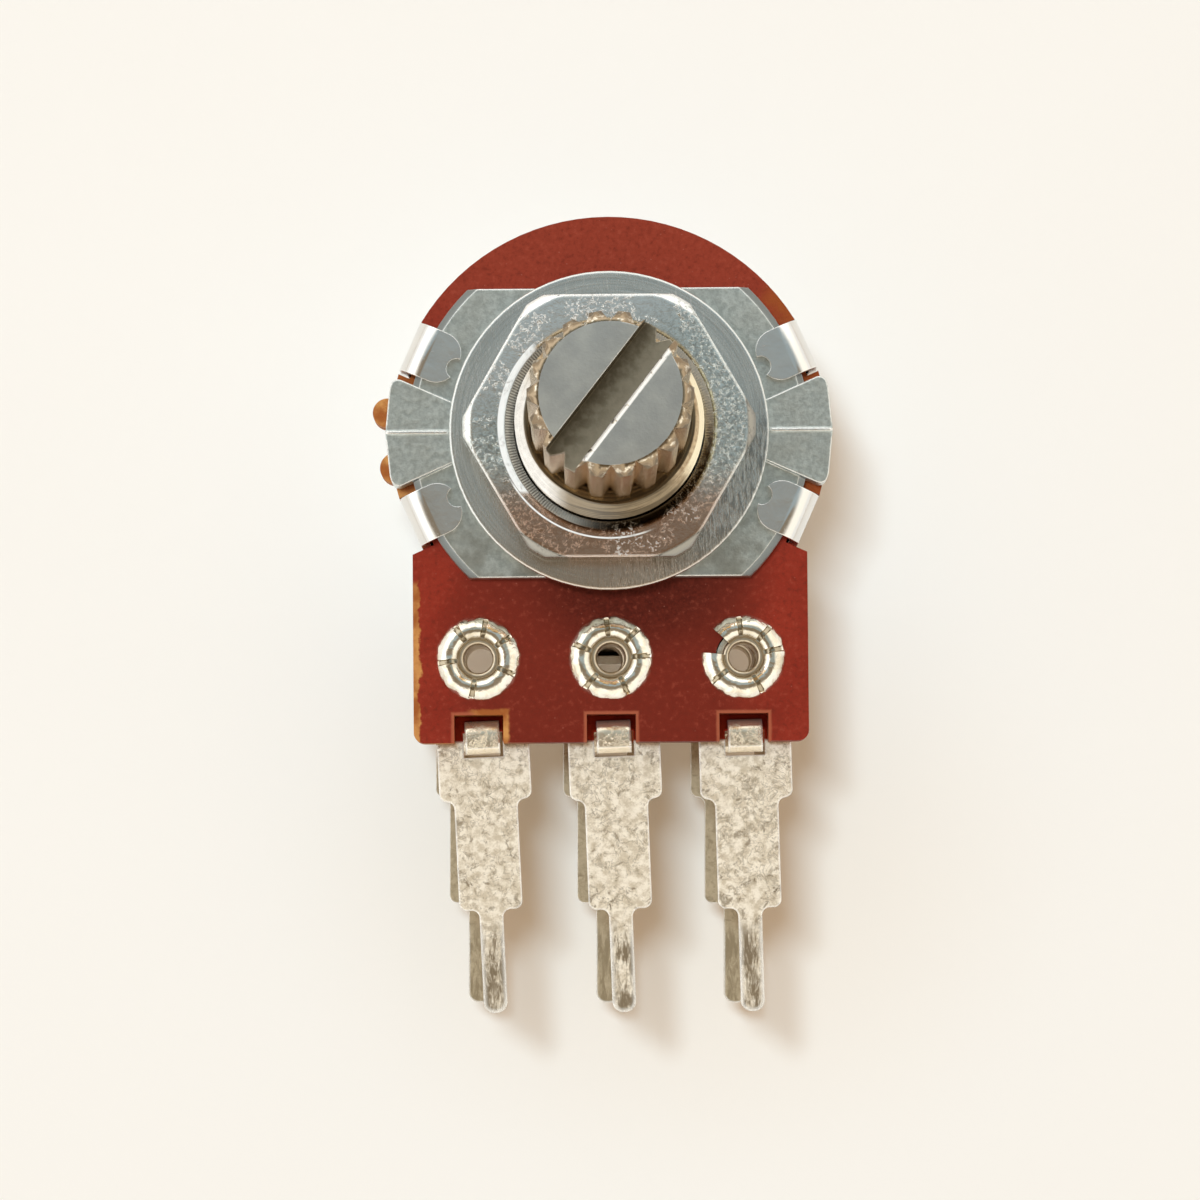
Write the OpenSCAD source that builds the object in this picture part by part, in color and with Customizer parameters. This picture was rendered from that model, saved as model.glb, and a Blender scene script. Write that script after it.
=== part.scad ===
// Dual-gang rotary potentiometer with a threaded bushing, a knurled shaft and two rows of three pins.
// The shaft turns about Z and points up, the pins point to -Y, and z = 0 is the face that seats on a panel.
// From the front back: plate with bushing, front board, middle can, rear board, rear cover with four tabs.

/* [Shaft] */
// Height of the shaft's end above the panel face
shaft_reach = 15; // [11:0.5:30]
// Diameter over the knurl's crests
knurl_d = 5.9; // [5.6:0.1:6.4]
// Number of teeth in the knurl
knurl_teeth = 18; // [14:1:24]
// Depth of the grooves between the teeth
knurl_depth = 0.42; // [0.2:0.02:0.5]
// Share of each tooth's pitch that is groove at the crest
knurl_groove_share = 0.6; // [0.4:0.05:0.8]
// Chamfer round the shaft's end
tip_chamfer = 0.42; // [0.1:0.02:0.6]
// Width of the screwdriver slot
slot_w = 1.25; // [0.8:0.05:1.6]
// Depth of the screwdriver slot
slot_depth = 1.6; // [0.8:0.1:4]
// Direction of the slot at mid travel, turned from +X
slot_angle = 52; // [0:1:179]
// Diameter of the journal that runs in the bushing
journal_d = 4.8; // [4:0.1:5]
// Gap between the knurled head and the bushing's end
head_gap = 0.3; // [0.1:0.05:1]
// Thickness over the flats of the tang that drives the rotors
tang_t = 2.6; // [1.8:0.1:3.2]

/* [Bushing, washer and nut] */
// Outer diameter of the bushing's thread
thread_d = 7; // [7:0.1:8]
// Pitch of the bushing's thread
thread_pitch = 0.75; // [0.5:0.05:1]
// Length of the bushing above the panel face
bushing_len = 5; // [4.5:0.5:9]
// Outer diameter of the washer
washer_d = 12; // [11:0.5:14]
// Thickness of the washer
washer_t = 0.5; // [0.3:0.1:1]
// Width of the nut across its flats
nut_af = 9.8; // [9.4:0.1:11]
// Thickness of the nut
nut_t = 2; // [1.5:0.1:2.4]
// Width of the bevel on the nut's corners
nut_corner = 0.5; // [0.3:0.05:0.6]
// Blunting of the nut's outermost corners
nut_blunt = 0.2; // [0.05:0.05:0.25]
// Diameter of the countersink in each face of the nut
nut_sink_d = 7.9; // [7.6:0.1:8.4]

/* [Front plate] */
// Play between the plate's round sides and the cover tabs
plate_play = 0.25; // [0.2:0.01:0.5]
// Height of the plate between its top and bottom flats
plate_h = 10.9; // [10:0.25:12]
// Thickness of the plate beside its raised faces
plate_t = 1; // [0.8:0.1:1.6]
// Rise of the wings and the middle boss above the plate
wing_rise = 0.5; // [0.4:0.05:0.8]
// Overhang of the wings over the rear cover's outside
wing_lip = 0.2; // [0.05:0.05:0.5]
// Diameter of the boss under the washer
boss_d = 11.4; // [10.8:0.2:11.8]
// Rounding of the wings' corners, seen from the front
wing_corner = 0.3; // [0.2:0.05:0.8]
// Width of the parting ridge along each wing
ridge_w = 0.14; // [0.08:0.02:0.3]
// Height of the parting ridge
ridge_h = 0.04; // [0.02:0.01:0.08]

/* [Boards] */
// Overhang of the boards over the rear cover's outside
board_lip = 0.08; // [0.02:0.02:0.3]
// Thickness of each board
board_t = 1.3; // [1:0.1:1.8]
// Width of the apron that carries the pins
apron_w = 14.9; // [14.2:0.1:15.4]
// Distance from the line of the eyelets to the apron's lower edge
apron_margin = 3.17; // [2.8:0.01:3.6]
// Rounding of the apron's lower corners
apron_corner = 0.4; // [0.2:0.1:1.4]
// Distance between the two boards, front to front
gang_pitch = 8; // [7.5:0.25:12]
// Turn of the rear board and its pins against the front ones
rear_turn = -0.5; // [-0.75:0.25:0.75]
// Slip of the rear board and its pins towards the round end, against the front ones
rear_slip = 0.3; // [0:0.05:0.3]
// Width of the notch over each pin
notch_w = 1.85; // [1.7:0.05:2.2]
// Depth of the notch over each pin
notch_depth = 1.05; // [0.9:0.05:1.2]
// Rounding of the notch's inner corners
notch_corner = 0.28; // [0.1:0.02:0.5]
// Diameter of the front board's middle hole
front_bore_d = 7.9; // [7.6:0.1:8]
// Diameter of the rear board's middle hole
rear_bore_d = 5.4; // [5.2:0.1:5.8]
// Stand of the long broken tie over the board's round end
long_tie = 0.64; // [0.4:0.02:0.9]
// Stand of the short broken tie over the board's round end
short_tie = 0.38; // [0.2:0.02:0.6]
// Width of each broken tie
tie_w = 1.1; // [0.8:0.05:1.3]

/* [Printed tracks] */
// Thickness of the printed tracks and pads
film_t = 0.08; // [0.04:0.02:0.12]
// Distance from the middle can's inside to the middle of the resistive track
track_inset = 1.26; // [1.2:0.02:1.4]
// Width of the resistive track
track_w = 1.1; // [0.8:0.1:1.2]
// Middle radius of the collector ring
collector_r = 4.5; // [4.4:0.05:4.6]
// Width of the collector ring
collector_w = 0.7; // [0.5:0.05:0.8]
// Angle that the resistive track covers
track_sweep = 304; // [290:2:306]

/* [Pins and eyelets] */
// Distance from pin to pin
pin_pitch = 5; // [4.8:0.1:5.2]
// Distance from the axis to the line of the eyelets
eyelet_reach = 8.45; // [8.4:0.05:8.8]
// Thickness of the pins' sheet
pin_t = 0.4; // [0.3:0.05:0.6]
// Radius of a pin's round head
pin_head_r = 1.55; // [1.4:0.05:1.6]
// Width of a pin beside the board
pin_root_w = 3.5; // [3:0.1:3.8]
// Distance from the axis to the end of the root
pin_root_reach = 13.75; // [13:0.05:15]
// Width of a pin's middle
pin_waist_w = 2.4; // [2:0.1:2.8]
// Distance from the axis to the end of the middle
pin_waist_reach = 17.9; // [16:0.1:19]
// Width of a pin's leg
pin_leg_w = 0.9; // [0.7:0.05:1.2]
// Distance from the axis to the tip of the leg
pin_reach = 21.8; // [20:0.1:26]
// Rounding of a pin's shoulders
pin_shoulder = 0.3; // [0.1:0.05:0.4]
// Rounding of the inner corners where a pin narrows
pin_fillet = 0.3; // [0.1:0.05:0.35]
// Lean of the left front pin about its eyelet
lean_left = 2.4; // [-2.6:0.2:2.6]
// Lean of the middle front pin about its eyelet
lean_middle = 1.8; // [-2.6:0.2:2.6]
// Lean of the right front pin about its eyelet
lean_right = 1.2; // [-2.6:0.2:2.6]
// Width of the lug that holds a pin in its notch
lug_w = 1.3; // [1:0.05:1.4]
// Length of the lug down the pin
lug_len = 1.25; // [1.1:0.05:1.5]
// Height of the lug's face above the pin's face
lug_rise = 1; // [0.6:0.05:1.1]
// Outer radius of an eyelet's rolled flange
flange_r = 1.58; // [1.4:0.02:1.6]
// Height of the rolled flange over the board
flange_h = 0.42; // [0.3:0.02:0.5]
// Radius of an eyelet's hole
eyelet_hole_r = 0.54; // [0.5:0.02:0.7]
// Outer radius of an eyelet's barrel
barrel_r = 1; // [0.9:0.02:1.1]
// Thickness of an eyelet's rear head
eyelet_head_t = 0.25; // [0.15:0.05:0.35]
// Number of punch marks in a rolled flange
punch_marks = 6; // [4:1:8]
// Radius of a punch mark
punch_r = 0.16; // [0.08:0.02:0.2]
// Turn of the punch that closed the left eyelets
punch_turn_left = 20; // [0:2:58]
// Turn of the punch that closed the middle eyelets
punch_turn_middle = 48; // [0:2:58]
// Turn of the punch that closed the right eyelets
punch_turn_right = 40; // [0:2:58]
// Radius of the top of an eyelet's roll
roll_mid_r = 1.12; // [1.05:0.01:1.2]

/* [Cans] */
// Outer radius of the rear cover
cover_r = 8.2; // [8.15:0.05:8.5]
// Thickness of the sheet in both cans
can_t = 0.35; // [0.25:0.05:0.4]
// Depth of the rear cover behind the rear board
cover_depth = 6.2; // [5.6:0.1:9]
// Rounding of the cover's rear corner, outside
cover_corner = 0.9; // [0.5:0.1:1.5]
// Width of a cover tab
tab_w = 1.95; // [1.6:0.05:2.2]
// Angle of the tabs from the X axis
tab_angle = 24; // [22:1:28]
// Length of the folded tab, measured inward from the cover's outside
tab_reach = 2; // [1.8:0.05:2.4]
// Inner radius of the tab's fold
tab_bend = 0.5; // [0.3:0.05:0.6]
// Radius of the bite in the tab's end
tab_bite = 0.38; // [0.2:0.02:0.5]

/* [Rotors and wipers] */
// Height of the stop lug over the front rotor's rim
stop_lug_h = 0.95; // [0.8:0.05:1.2]
// Thickness of each rotor's disc
rotor_t = 1.6; // [1.4:0.1:2]
// Radius of each rotor's hub
hub_r = 3.3; // [3.1:0.05:3.4]
// Room between the stop lug and the middle can's inside
stop_lug_gap = 0.36; // [0.2:0.02:0.5]
// Turn from mid travel to either stop
half_travel = 150; // [140:1:152]
// Angle that the stop lug covers
stop_lug_sweep = 30; // [24:1:36]
// Thickness of the wipers' sheet
wiper_t = 0.15; // [0.1:0.05:0.2]
// Distance between a board's film and its wiper's plate
wiper_stand = 1.5; // [1.2:0.1:1.8]
// Thickness of the retaining ring
ring_t = 0.5; // [0.4:0.05:0.6]
// Outer radius of the retaining ring
ring_r = 3.45; // [3:0.05:3.5]

/* [Clearances] */
// Radial play between parts that turn in each other
run_gap = 0.05; // [0.02:0.01:0.08]
// Radial play of the nut and the washer on the thread
thread_gap = 0.06; // [0.03:0.01:0.09]
// Play between parts that are pushed together once
fit_gap = 0.05; // [0.02:0.01:0.1]
// Room between a cover tab and the notch or pocket that it lies in
tab_gap = 0.38; // [0.3:0.02:0.5]

/* [Hidden] */
$fn = 64;
eps = 0.01;
full = 360;
quarter = 90;
// More than the part's whole width, for cuts that run right through
beyond = 60;

thread_depth = 0.6134 * thread_pitch;
cover_inner_r = cover_r - can_t;
plate_r = cover_inner_r - plate_play;
wing_r = cover_r + wing_lip;
board_r = cover_r + board_lip;
middle_r = cover_inner_r - tab_gap / 2;
middle_inner_r = middle_r - can_t;
stop_lug_r = middle_inner_r - stop_lug_gap;
rotor_r = stop_lug_r - stop_lug_h;
track_r = middle_inner_r - track_inset;
apron_reach = eyelet_reach + apron_margin;
// The plate's edge is bevelled as far as the tabs bend over it
plate_edge = tab_bend - plate_play;

plate_top = -wing_rise;
plate_back = plate_top - plate_t;
front_face = plate_back;
front_back = front_face - board_t;
rear_face = front_face - gang_pitch;
rear_back = rear_face - board_t;
cover_back = rear_back - cover_depth;
cover_floor = cover_back + can_t;
head_base = bushing_len + head_gap;
groove_lip = ring_t;
ring_back = plate_back - run_gap - ring_t;
groove_r = journal_d / 2 - ring_t;
tang_r = journal_d / 2 - run_gap;
tang_top = ring_back - groove_lip;
tang_end = cover_floor + can_t;

// 2D helpers ------------------------------------------------------------------------------------------

// A sector from the axis with its middle on +X
module sector(sweep, reach) {
    steps = ceil(sweep / 30);
    far = reach / cos(sweep / steps / 2);
    polygon(concat(
        [[0, 0]],
        [for (i = [0 : steps]) let (a = sweep * (i / steps - 0.5)) far * [cos(a), sin(a)]]
    ));
}

// A flat ring
module ring_2d(inner, outer) {
    difference() {
        circle(r = outer);
        circle(r = inner);
    }
}

// A strip from y = 0 down to -length, with its lower corners rounded
module strip_2d(width, length, corner) {
    translate([-width / 2, corner - length]) square([width, length - corner]);
    translate([corner - width / 2, -length]) square([width - 2 * corner, corner + eps]);
    for (side = [-1, 1])
        translate([side * (width / 2 - corner), corner - length]) circle(r = corner, $fn = 24);
}

// The quarter of a ring that turns a sheet's section from up (at +X) to inward (at +Y)
module bend_2d(inner, thickness) {
    intersection() {
        ring_2d(inner, inner + thickness);
        square(inner + thickness + eps);
    }
}

// Places its children at each of the four cover tabs, mirrored so that all bites lie towards the X axis
module at_tabs() {
    for (side_x = [0, 1], side_y = [0, 1])
        mirror([side_x, 0, 0]) mirror([0, side_y, 0]) rotate(tab_angle) children();
}

// Room in the plate or a board for the four tabs, from the given radius outward
module tab_room_2d(from_r, room) {
    at_tabs() translate([from_r, -tab_w / 2 - room]) square([wing_r, tab_w + 2 * room]);
}

// Shaft group -----------------------------------------------------------------------------------------

// The knurl's section: flat lands on the crest circle with a V groove between each two
module knurl_2d() {
    pitch = full / knurl_teeth;
    half_land = pitch * (1 - knurl_groove_share) / 2;
    crest = knurl_d / 2;
    root = crest - knurl_depth;
    polygon([
        for (i = [0 : knurl_teeth - 1], corner = [[-half_land, crest], [half_land, crest], [pitch / 2, root]])
            let (a = i * pitch + corner[0]) corner[1] * [cos(a), sin(a)]
    ]);
}

module shaft() color("silver") {
    crest = knurl_d / 2;
    difference() {
        intersection() {
            translate([0, 0, head_base]) linear_extrude(shaft_reach - head_base) knurl_2d();
            rotate_extrude() polygon([
                [0, head_base],
                [crest - tip_chamfer / 2, head_base],
                [crest + eps, head_base + tip_chamfer / 2 + eps],
                [crest + eps, shaft_reach - tip_chamfer - eps],
                [crest - tip_chamfer, shaft_reach],
                [0, shaft_reach]
            ]);
        }
        rotate(slot_angle) translate([-knurl_d, -slot_w / 2, shaft_reach - slot_depth])
            cube([2 * knurl_d, slot_w, slot_depth + 1]);
    }
    difference() {
        translate([0, 0, tang_top]) cylinder(r = journal_d / 2, h = head_base - tang_top);
        translate([0, 0, ring_back - run_gap]) linear_extrude(ring_t + 2 * run_gap)
            ring_2d(groove_r, journal_d);
    }
    intersection() {
        translate([0, 0, tang_end]) cylinder(r = tang_r, h = tang_top - tang_end);
        rotate(slot_angle) translate([-journal_d, -tang_t / 2, tang_end])
            cube([2 * journal_d, tang_t, tang_top - tang_end]);
    }
}

// A C-shaped ring that snaps into the groove of the shaft
module retaining_ring() color("dimgray") {
    inner = groove_r + fit_gap;
    mouth = 1.5 * inner;
    translate([0, 0, ring_back]) linear_extrude(ring_t) difference() {
        ring_2d(inner, ring_r);
        rotate(slot_angle) translate([0, -mouth / 2]) square([ring_r + 1, mouth]);
        rotate(slot_angle) for (side = [-1, 1])
            translate([0, side * inner]) circle(r = inner / 4);
    }
}

// Front plate, washer and nut -------------------------------------------------------------------------

// One wing's outline: a sector between two tab pockets, with rounded outer corners
module wing_2d() {
    offset(r = wing_corner, $fn = 32) offset(delta = -wing_corner) difference() {
        intersection() {
            circle(r = wing_r);
            sector(2 * tab_angle, wing_r);
        }
        tab_room_2d(0, tab_gap);
    }
}

module front_plate() color("lightslategray") difference() {
    union() {
        intersection() {
            rotate_extrude() polygon([
                [0, plate_back],
                [plate_r, plate_back],
                [plate_r, plate_top - plate_edge],
                [plate_r - plate_edge, plate_top],
                [0, plate_top]
            ]);
            translate([-beyond / 2, -plate_h / 2, plate_back - 1]) cube([beyond, plate_h, plate_t + 2]);
        }
        translate([0, 0, plate_top - eps]) cylinder(r = boss_d / 2, h = wing_rise + eps);
        for (side = [0, 1]) mirror([side, 0, 0]) {
            translate([0, 0, plate_back]) linear_extrude(plate_t + wing_rise) wing_2d();
            translate([washer_d / 2 + fit_gap, -ridge_w / 2, -wing_rise])
                cube([wing_r - washer_d / 2 - 2 * fit_gap, ridge_w, wing_rise + ridge_h]);
        }
        rotate_extrude() polygon([
            [0, -wing_rise],
            [thread_d / 2, -wing_rise],
            [thread_d / 2, bushing_len - thread_depth / 2],
            [thread_d / 2 - thread_depth / 2, bushing_len],
            [0, bushing_len]
        ]);
    }
    translate([0, 0, plate_back - 1]) cylinder(r = journal_d / 2 + run_gap, h = bushing_len - plate_back + 2);
}

module washer() color("gainsboro")
    linear_extrude(washer_t) ring_2d(thread_d / 2 + thread_gap, washer_d / 2);

// A hexagon with its corners bevelled at 30 degrees and both faces countersunk at 45 degrees
module nut() color("silver") {
    corner_r = nut_af / 2 / cos(full / 12);
    blunt_r = corner_r - nut_blunt;
    face_r = corner_r - nut_corner;
    bevel = (blunt_r - face_r) * tan(full / 12);
    bore = thread_d / 2 + thread_gap;
    sink = nut_sink_d / 2 - bore;
    translate([0, 0, washer_t]) difference() {
        intersection() {
            cylinder(r = corner_r, h = nut_t, $fn = 6);
            rotate_extrude() polygon([
                [0, 0],
                [face_r, 0],
                [blunt_r, bevel],
                [blunt_r, nut_t - bevel],
                [face_r, nut_t],
                [0, nut_t]
            ]);
        }
        rotate_extrude() polygon([
            [0, -1],
            [bore + sink + 1, -1],
            [bore, sink],
            [bore, nut_t - sink],
            [bore + sink + 1, nut_t + 1],
            [0, nut_t + 1]
        ]);
    }
}

// Boards with their printed tracks --------------------------------------------------------------------

// A notch that opens downward, with its mouth at y = 0
module notch_2d() {
    translate([0, notch_depth]) strip_2d(notch_w, 2 * notch_depth, notch_corner);
    translate([-notch_w / 2, 0]) mirror([0, 1]) square([notch_w, notch_depth]);
}

// The outline of both boards, with a notch over each pin and one in the way of each cover tab
module board_2d(bore_d, tab_room) {
    difference() {
        union() {
            circle(r = board_r);
            strip_2d(apron_w, apron_reach, apron_corner);
        }
        tab_room_2d(cover_inner_r - tab_room, tab_room);
        circle(r = bore_d / 2);
        for (i = [-1, 0, 1]) translate([i * pin_pitch, 0]) {
            translate([0, -eyelet_reach]) circle(r = barrel_r + fit_gap, $fn = 32);
            translate([0, -apron_reach]) mirror([0, 1]) notch_2d();
        }
    }
}

// The stump of a broken tie that held the board in its strip, on the left with its middle at y = place
module broken_tie_2d(place, stand) {
    crown_r = (tie_w * tie_w / 4 + stand * stand) / (2 * stand);
    translate([crown_r - board_r - stand, place]) circle(r = crown_r, $fn = 24);
}

module front_board() color("firebrick") translate([0, 0, front_back]) {
    linear_extrude(board_t) board_2d(front_bore_d, 2 * fit_gap);
    linear_extrude(board_t) broken_tie_2d(0.8 * tie_w, long_tie);
    linear_extrude(board_t) broken_tie_2d(-1.1 * tie_w, short_tie);
}

// Sets its children where the rear board lies, a little off the front one
module rear_seat() {
    translate([0, rear_slip, 0]) rotate(rear_turn) children();
}

module rear_board() color("firebrick") rear_seat() translate([0, 0, rear_back])
    linear_extrude(board_t) board_2d(rear_bore_d, tab_gap);

// A straight pad from one point to another
module pad_2d(from, to, width) {
    run = to - from;
    translate(from) rotate(atan2(run[1], run[0])) translate([0, -width / 2]) square([norm(run), width]);
}

// A printed layer on a board's back, with a hole round each eyelet
module film(board_back) color("dimgray") translate([0, 0, board_back - film_t]) difference() {
    children();
    for (i = [-1, 0, 1]) translate([i * pin_pitch, -eyelet_reach, -1])
        cylinder(r = barrel_r + fit_gap, h = film_t + 2, $fn = 32);
}

// The resistive track, open towards the pins, with a pad from each end to its eyelet
module track() {
    end = track_r * [sin(track_sweep / 2 - 2), cos(track_sweep / 2 - 2)];
    linear_extrude(film_t) difference() {
        ring_2d(track_r - track_w / 2, track_r + track_w / 2);
        rotate(-quarter) sector(full - track_sweep, board_r);
    }
    for (side = [0, 1]) mirror([side, 0, 0])
        linear_extrude(film_t) pad_2d(end, [pin_pitch, -eyelet_reach], track_w);
}

// The ring that the wiper collects from, with its pad to the middle eyelet
module collector() {
    linear_extrude(film_t) ring_2d(collector_r - collector_w / 2, collector_r + collector_w / 2);
    linear_extrude(film_t) pad_2d([0, -collector_r], [0, -eyelet_reach], pin_head_r);
}

module front_track() film(front_back) track();
module front_collector() film(front_back) collector();
module rear_track() rear_seat() film(rear_back) track();
module rear_collector() rear_seat() film(rear_back) collector();

// Pins and eyelets ------------------------------------------------------------------------------------

// Fills both inner corners where a strip of the given width leaves a shoulder at y = 0
module fillets_2d(width) {
    for (side = [0, 1]) mirror([side, 0]) difference() {
        translate([width / 2 - eps, -pin_fillet]) square([pin_fillet + eps, pin_fillet + eps]);
        translate([width / 2 + pin_fillet, -pin_fillet]) circle(r = pin_fillet, $fn = 24);
    }
}

// A pin's blank, from its round head at the origin down to the tip of its leg
module pin_2d() {
    neck = pin_head_r / 2;
    circle(r = pin_head_r);
    translate([0, -neck]) {
        strip_2d(pin_root_w, pin_root_reach - eyelet_reach - neck, pin_shoulder);
        strip_2d(pin_waist_w, pin_waist_reach - eyelet_reach - neck, pin_shoulder);
        strip_2d(pin_leg_w, pin_reach - eyelet_reach - neck, 0.45 * pin_leg_w);
    }
    translate([0, eyelet_reach - pin_root_reach]) fillets_2d(pin_waist_w);
    translate([0, eyelet_reach - pin_waist_reach]) fillets_2d(pin_leg_w);
}

// The lug's section: up out of the sheet at x = 0, round a bend, and down along +x to its cut end
module lug_2d() {
    bend = pin_t / 4;
    face = pin_t + lug_rise;
    square([pin_t, face - bend - pin_t]);
    translate([bend + pin_t, face - bend - pin_t]) mirror([1, 0]) bend_2d(bend, pin_t);
    translate([bend + pin_t, face - pin_t]) polygon([
        [0, 0],
        [lug_len - bend - pin_t, 0],
        [lug_len - bend - pin_t, pin_t / 2],
        [lug_len - bend - 1.5 * pin_t, pin_t],
        [0, pin_t]
    ]);
}

// One pin about its eyelet at x = place * pin_pitch, behind a board whose back is at the given height
module pin(place, board_back, lean) {
    lug_top = apron_reach - notch_depth + 2 * fit_gap + pin_t / 4;
    side_room = 2 * fit_gap;
    translate([place * pin_pitch, -eyelet_reach, board_back - film_t - pin_t]) rotate(lean) {
        difference() {
            linear_extrude(pin_t) difference() {
                pin_2d();
                circle(r = barrel_r + fit_gap, $fn = 32);
            }
            translate([-lug_w / 2 - side_room, eyelet_reach - lug_top - lug_len - side_room, -1])
                cube([lug_w + 2 * side_room, lug_len - pin_t + side_room, pin_t + 2]);
        }
        translate([0, eyelet_reach - lug_top, 0]) rotate([90, 0, -90])
            linear_extrude(lug_w, center = true) lug_2d();
    }
}

module front_pin_left() color("wheat") pin(-1, front_back, lean_left);
module front_pin_middle() color("wheat") pin(0, front_back, lean_middle);
module front_pin_right() color("wheat") pin(1, front_back, lean_right);
module rear_pin_left() color("wheat") rear_seat() pin(-1, rear_back, 0);
module rear_pin_middle() color("wheat") rear_seat() pin(0, rear_back, 0);
module rear_pin_right() color("wheat") rear_seat() pin(1, rear_back, 0);

// A hollow rivet through board and pin, rolled outward on the board's face by a star punch.
// A split of the given sweep can be missing from the roll, with its middle at the given angle.
module eyelet(place, board_face, turn, split_sweep = 0, split_angle = 0) {
    grip = board_t + film_t + pin_t;
    half_chord = flange_r - roll_mid_r;
    roll_r = (half_chord * half_chord + flange_h * flange_h) / (2 * flange_h);
    translate([place * pin_pitch, -eyelet_reach, board_face]) difference() {
        rotate_extrude() {
            intersection() {
                translate([roll_mid_r, flange_h - roll_r]) circle(r = roll_r);
                square([flange_r, flange_h + 1]);
            }
            translate([eyelet_hole_r, -grip - eyelet_head_t])
                square([barrel_r - eyelet_hole_r, grip + eyelet_head_t + eps]);
            translate([eyelet_hole_r, -grip - eyelet_head_t])
                square([pin_head_r - fit_gap - eyelet_hole_r, eyelet_head_t]);
        }
        for (i = [1 : punch_marks]) rotate(turn + i * full / punch_marks)
            translate([eyelet_hole_r, 0, flange_h + punch_r / 3]) rotate([0, 90, 0])
                cylinder(r = punch_r, h = flange_r, $fn = 16);
        if (split_sweep > 0)
            linear_extrude(flange_h + 1) difference() {
                rotate(split_angle) sector(split_sweep, flange_r + 1);
                circle(r = barrel_r);
            }
    }
}

module front_eyelet_left() color("linen") eyelet(-1, front_face, punch_turn_left);
module front_eyelet_middle() color("linen") eyelet(0, front_face, punch_turn_middle);
module front_eyelet_right() color("linen")
    eyelet(1, front_face, punch_turn_right, split_sweep = 36, split_angle = 156);
module rear_eyelet_left() color("linen") rear_seat() eyelet(-1, rear_face, punch_turn_left);
module rear_eyelet_middle() color("linen") rear_seat() eyelet(0, rear_face, punch_turn_middle);
module rear_eyelet_right() color("linen") rear_seat() eyelet(1, rear_face, punch_turn_right);

// Cans ------------------------------------------------------------------------------------------------

// Room in a can's rim for what stands off the apron, from one height to another
module rim_window(low, high) {
    half_w = pin_pitch + pin_root_w / 2 + tab_gap;
    translate([-half_w, -beyond, low]) cube([2 * half_w, beyond - collector_r, high - low]);
}

module middle_can() color("silver") {
    stop_sweep = full - 2 * half_travel - stop_lug_sweep - 1;
    pin_depth = film_t + pin_t + eyelet_head_t;
    difference() {
        translate([0, 0, rear_face]) linear_extrude(front_back - rear_face)
            ring_2d(middle_inner_r, middle_r);
        rim_window(front_back - pin_depth - tab_gap, front_back + 1);
        rim_window(rear_face - 1, rear_face + flange_h + tab_gap);
    }
    translate([0, 0, disc_back(front_back)]) linear_extrude(rotor_t - wiper_t) difference() {
        intersection() {
            rotate(-quarter) sector(stop_sweep, cover_r);
            circle(r = middle_inner_r + can_t / 2);
        }
        circle(r = rotor_r + tab_gap);
    }
}

// One tab's section: up the can's side, round the plate's edge and inward over the plate
module tab_section_2d() {
    fold = cover_inner_r - tab_bend;
    translate([cover_inner_r, rear_back - can_t]) square([can_t, plate_top - tab_bend - rear_back + can_t]);
    translate([fold, plate_top - tab_bend]) bend_2d(tab_bend, can_t);
    translate([cover_r - tab_reach, plate_top]) square([fold - cover_r + tab_reach, can_t]);
}

// One tab along +X, with a round end and a bite in it, a little towards the X axis
module cover_tab() {
    intersection() {
        rotate([90, 0, 0]) linear_extrude(tab_w, center = true) tab_section_2d();
        translate([0, 0, rear_back - 1]) linear_extrude(plate_top - rear_back + 2) difference() {
            translate([cover_r + 1, 0]) rotate(-quarter) strip_2d(tab_w, tab_reach + 1, 0.42 * tab_w);
            translate([cover_r - tab_reach, -tab_bite / 3]) circle(r = tab_bite, $fn = 24);
        }
    }
}

module rear_cover() color("gainsboro") {
    pin_depth = film_t + pin_t + eyelet_head_t;
    difference() {
        rotate_extrude() {
            translate([0, cover_back]) square([cover_r - cover_corner, can_t]);
            translate([cover_r - cover_corner, cover_back + cover_corner])
                mirror([0, 1]) bend_2d(cover_corner - can_t, can_t);
            translate([cover_inner_r, cover_back + cover_corner])
                square([can_t, rear_back - cover_back - cover_corner]);
        }
        rim_window(rear_back - pin_depth - tab_gap, rear_back + 1);
    }
    at_tabs() cover_tab();
}

// Rotors and wipers -----------------------------------------------------------------------------------

function wiper_back(board_back) = board_back - film_t - wiper_stand - wiper_t;
function disc_back(board_back) = wiper_back(board_back) - rotor_t;

// Places its children at the three stakes that hold a wiper on its rotor
module at_stakes() {
    for (turn = [0, 180, 270]) rotate(turn) translate([(hub_r + rotor_r) / 2, 0]) children();
}

// A rotor with its hub between two heights, and its stakes through the wiper
module rotor(board_back, hub_top, hub_back) {
    stake_r = (rotor_r - hub_r) / 6;
    difference() {
        union() {
            translate([0, 0, disc_back(board_back)]) cylinder(r = rotor_r, h = rotor_t);
            translate([0, 0, hub_back]) cylinder(r = hub_r, h = hub_top - hub_back);
            translate([0, 0, disc_back(board_back) + rotor_t - eps])
                linear_extrude(2 * wiper_t + eps) at_stakes() circle(r = stake_r, $fn = 24);
            children();
        }
        intersection() {
            translate([0, 0, hub_back - 1]) cylinder(r = tang_r + fit_gap, h = hub_top - hub_back + 2);
            rotate(slot_angle) translate([-beyond / 2, -tang_t / 2 - fit_gap, hub_back - 1])
                cube([beyond, tang_t + 2 * fit_gap, hub_top - hub_back + 2]);
        }
    }
}

module front_rotor() color("ivory")
    rotor(front_back, tang_top - fit_gap, rear_face + run_gap)
        translate([0, 0, disc_back(front_back)]) linear_extrude(rotor_t - wiper_t) intersection() {
            rotate(quarter) sector(stop_lug_sweep, cover_r);
            circle(r = stop_lug_r);
        }

module rear_rotor() color("ivory")
    rotor(rear_back, rear_back - film_t - run_gap, cover_floor + run_gap);

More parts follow.
